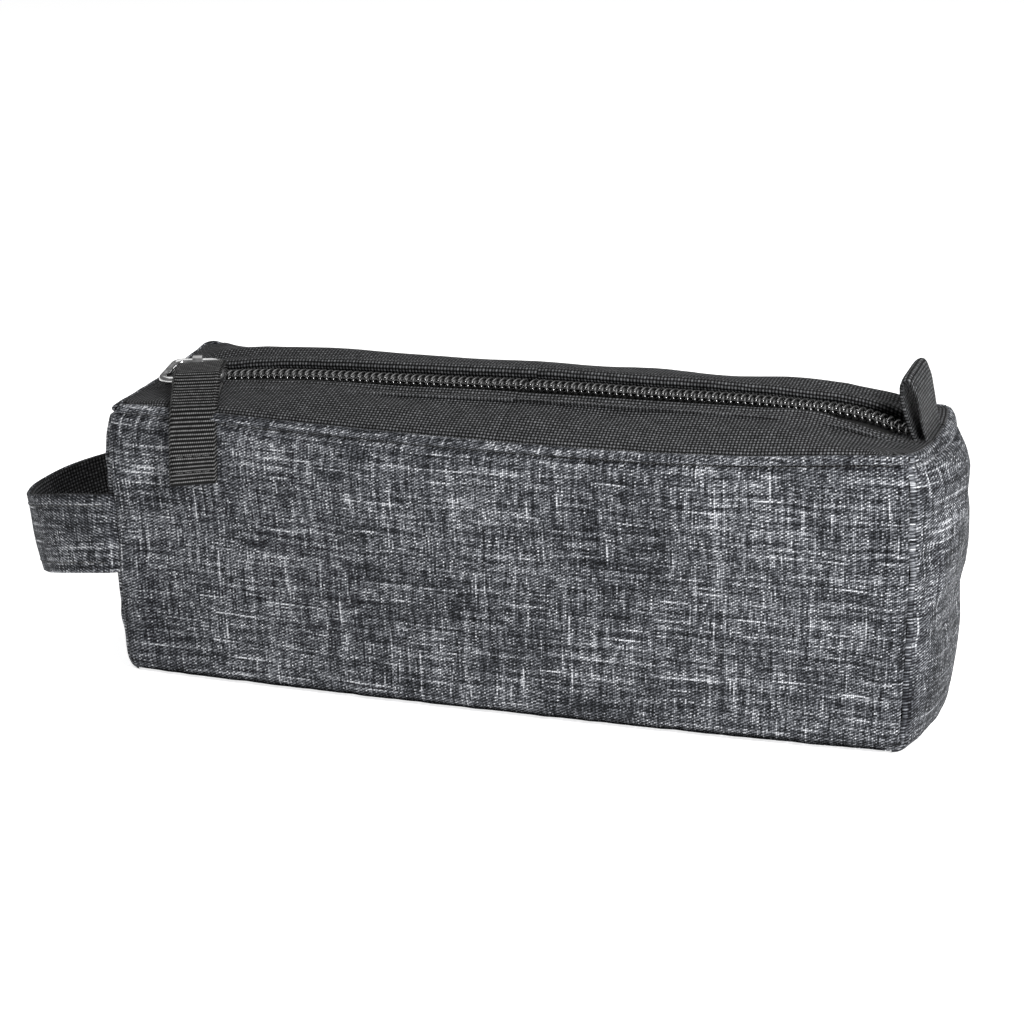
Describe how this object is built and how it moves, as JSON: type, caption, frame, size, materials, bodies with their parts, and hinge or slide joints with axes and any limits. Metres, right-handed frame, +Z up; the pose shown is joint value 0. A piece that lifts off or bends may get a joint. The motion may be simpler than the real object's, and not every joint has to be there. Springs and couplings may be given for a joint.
{
  "type": "pencil case",
  "caption": "Soft boxy zip-up pencil case with a black top, a coil zip with a ring and webbing pull, an end tab and a carry loop.",
  "frame": {"origin": "middle of the underside of the base, on the surface that the case stands on", "axes": "+X along the case from the carry loop's end to the tab's end, -Y the front panel over which the pull hangs, +Z up"},
  "size_m": [0.2409, 0.0627, 0.0908],
  "materials": {
    "heather_fabric": "matt melange weave of grey-blue yarns",
    "black_fabric": "matt plain-weave black cloth",
    "foam_sheet": "matt foam sheet",
    "lining_fabric": "smooth dark lining",
    "seam_tape": "woven binding tape",
    "zip_tape": "woven tape",
    "nylon_coil": "satin black monofilament",
    "thread": "dark polyester thread",
    "cast_metal": "plated die-cast metal",
    "wire_metal": "polished plated wire",
    "webbing": "ribbed woven webbing"
  },
  "bodies": {
    "case": {"front_panel": "heather_fabric", "back_panel": "heather_fabric", "left_end_panel": "heather_fabric", "right_end_panel": "heather_fabric", "base_panel": "heather_fabric", "front_stiffener": "foam_sheet", "back_stiffener": "foam_sheet", "left_end_stiffener": "foam_sheet", "right_end_stiffener": "foam_sheet", "base_stiffener": "foam_sheet", "front_lining": "lining_fabric", "back_lining": "lining_fabric", "left_end_lining": "lining_fabric", "right_end_lining": "lining_fabric", "base_lining": "lining_fabric", "base_seam_tape": "seam_tape", "front_left_seam_tape": "seam_tape", "back_left_seam_tape": "seam_tape", "front_right_seam_tape": "seam_tape", "back_right_seam_tape": "seam_tape", "left_zip_end": "black_fabric", "right_zip_end": "black_fabric", "front_edge_topstitch": "thread", "back_edge_topstitch": "thread", "zip_bottom_stop": "cast_metal", "carry_loop_outer": "heather_fabric", "carry_loop_backing": "black_fabric", "carry_loop_topstitch": "thread"},
    "front_lip": {"front_top_strip": "black_fabric", "front_zip_tape": "zip_tape", "front_zip_coil": "nylon_coil", "front_strip_topstitch": "thread", "front_top_stop": "cast_metal"},
    "back_lip": {"back_top_strip": "black_fabric", "back_zip_tape": "zip_tape", "back_zip_coil": "nylon_coil", "back_strip_topstitch": "thread", "back_top_stop": "cast_metal"},
    "slider": {"zip_slider": "cast_metal"},
    "ring": {"pull_ring": "wire_metal"},
    "strap": {"pull_strap": "webbing", "pull_strap_stitch": "thread"},
    "tab": {"end_tab": "black_fabric"}
  },
  "joints": [
    {"name": "zip_slide", "type": "slide", "parent": "case", "child": "slider", "axis": [0.9998, 0, 0.0175], "range_m": [0, 0.169]},
    {"name": "front_lip_open", "type": "hinge", "parent": "case", "child": "front_lip", "pos_m": [0.00001, -0.028, 0.0712], "axis": [0.9998, 0, 0.0175], "range_deg": [0, 65], "deforming": ["front_top_strip", "front_zip_tape", "front_zip_coil", "front_strip_topstitch", "front_top_stop"]},
    {"name": "back_lip_open", "type": "hinge", "parent": "case", "child": "back_lip", "pos_m": [0.00001, 0.028, 0.0712], "axis": [0.9998, 0, 0.0175], "range_deg": [-65, 0], "deforming": ["back_top_strip", "back_zip_tape", "back_zip_coil", "back_strip_topstitch", "back_top_stop"]},
    {"name": "ring_lift", "type": "hinge", "parent": "slider", "child": "ring", "pos_m": [-0.08859, 0, 0.07605], "axis": [-0.9611, -0.2756, -0.0168], "range_deg": [0, 90]},
    {"name": "strap_lift", "type": "hinge", "parent": "ring", "child": "strap", "pos_m": [-0.08473, -0.01341, 0.07492], "axis": [-0.9611, -0.2756, -0.0168], "range_deg": [0, 95]},
    {"name": "tab_flex", "type": "hinge", "parent": "case", "child": "tab", "pos_m": [0.09924, 0, 0.07563], "axis": [0, 1, 0], "range_deg": [-8, 98], "stiffness_Nm_per_rad": 0.0003}
  ],
  "couplings": [
    {"joint": "front_lip_open", "follows": "zip_slide", "rad_per_m": 6.25},
    {"joint": "back_lip_open", "follows": "zip_slide", "rad_per_m": -6.25}
  ]
}
